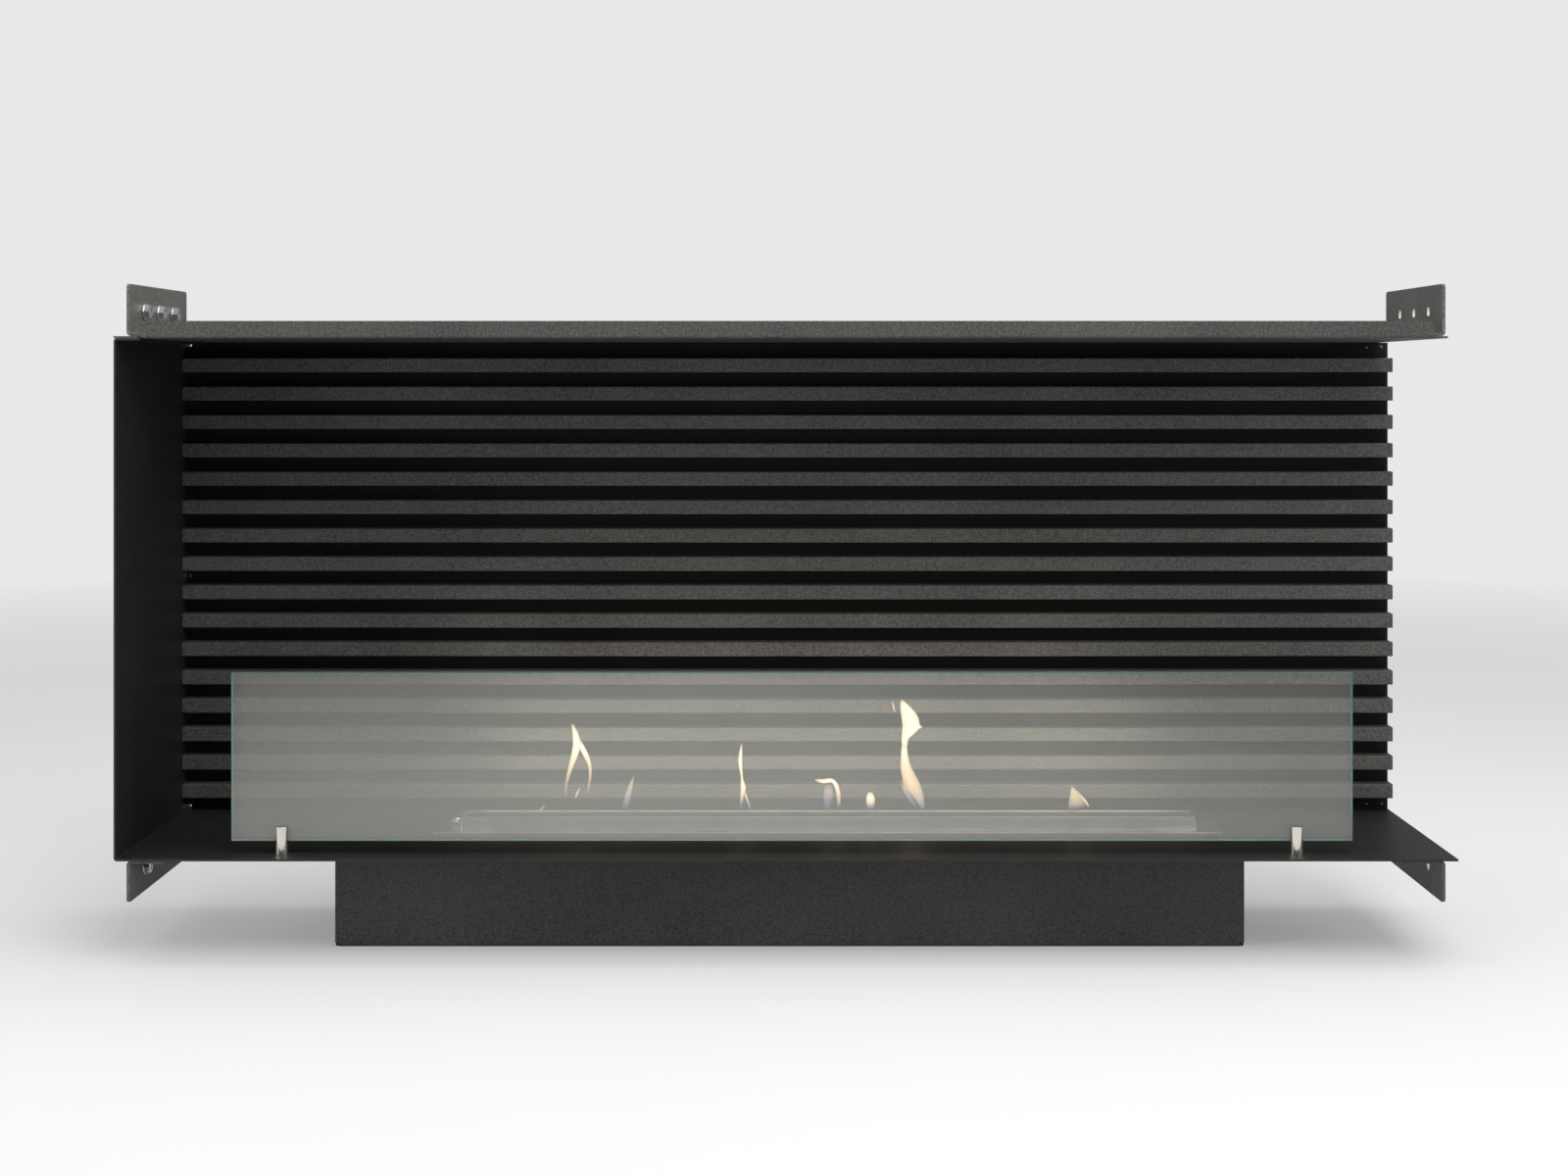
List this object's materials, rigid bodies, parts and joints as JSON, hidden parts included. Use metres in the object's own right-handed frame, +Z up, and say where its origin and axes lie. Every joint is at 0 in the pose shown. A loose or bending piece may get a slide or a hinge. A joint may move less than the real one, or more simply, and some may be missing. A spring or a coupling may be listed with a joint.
{
  "type": "built-in corner fireplace with slot burner",
  "caption": "Black steel fireplace insert, open at the front and right, with a slatted back, a glass screen in two posts and a drop-in slot burner.",
  "frame": {"origin": "on the floor, under the middle of the whole object's box", "axes": "+X right along the casing, +Y to the back, +Z up; the open front faces -Y"},
  "size_m": [1.28, 0.265, 0.653],
  "materials": {
    "casing_paint": "fine-textured matt black powder coat",
    "wall_paint": "fine-textured matt black powder coat",
    "slat_paint": "fine-textured matt black powder coat",
    "bracket_paint": "fine-textured matt black powder coat",
    "housing_paint": "fine-textured matt black powder coat",
    "zinc": "bright zinc plating",
    "burner_steel": "brushed stainless steel",
    "knob_steel": "turned stainless steel",
    "ceramic_wool": "off-white ceramic fibre",
    "screen_glass": "clear toughened glass with ground edges",
    "post_steel": "polished turned steel",
    "liner_rubber": "soft black silicone"
  },
  "bodies": {
    "casing": {"top_panel": "casing_paint", "shelf_side_panel": "casing_paint", "back_panel": "wall_paint", "slat_01": "slat_paint", "slat_02": "slat_paint", "slat_03": "slat_paint", "slat_04": "slat_paint", "slat_05": "slat_paint", "slat_06": "slat_paint", "slat_07": "slat_paint", "slat_08": "slat_paint", "slat_09": "slat_paint", "slat_10": "slat_paint", "slat_11": "slat_paint", "slat_12": "slat_paint", "slat_13": "slat_paint", "slat_14": "slat_paint", "slat_15": "slat_paint", "slat_16": "slat_paint", "bracket_upper_left": "bracket_paint", "bracket_upper_right": "bracket_paint", "bracket_lower_left": "bracket_paint", "bracket_lower_right": "bracket_paint", "burner_housing": "housing_paint", "wall_bolts": "zinc", "wall_nuts": "zinc", "wall_washers": "zinc", "housing_studs": "zinc", "housing_nuts": "zinc", "post_screws": "zinc", "post_washers": "zinc", "top_screws": "zinc", "shelf_screws": "zinc", "panel_nuts": "zinc", "slat_screws": "zinc", "corner_rivets": "zinc", "post_left": "post_steel", "post_right": "post_steel", "liner_left": "liner_rubber", "liner_right": "liner_rubber"},
    "screen": {"glass_screen": "screen_glass"},
    "burner": {"fuel_tank": "burner_steel", "burner_deck": "burner_steel", "flame_collar": "burner_steel", "damper_strap_left": "burner_steel", "damper_strap_right": "burner_steel", "wick_1": "ceramic_wool", "wick_2": "ceramic_wool", "wick_3": "ceramic_wool"},
    "damper": {"damper": "burner_steel", "damper_knob": "knob_steel"}
  },
  "joints": [
    {"name": "screen_lift", "type": "slide", "parent": "casing", "child": "screen", "axis": [0, 0, 1], "range_m": [0, 0.15]},
    {"name": "burner_lift", "type": "slide", "parent": "casing", "child": "burner", "axis": [0, 0, 1], "range_m": [0, 0.15]},
    {"name": "damper_slide", "type": "slide", "parent": "burner", "child": "damper", "axis": [0, -1, 0], "range_m": [0, 0.0142]}
  ]
}
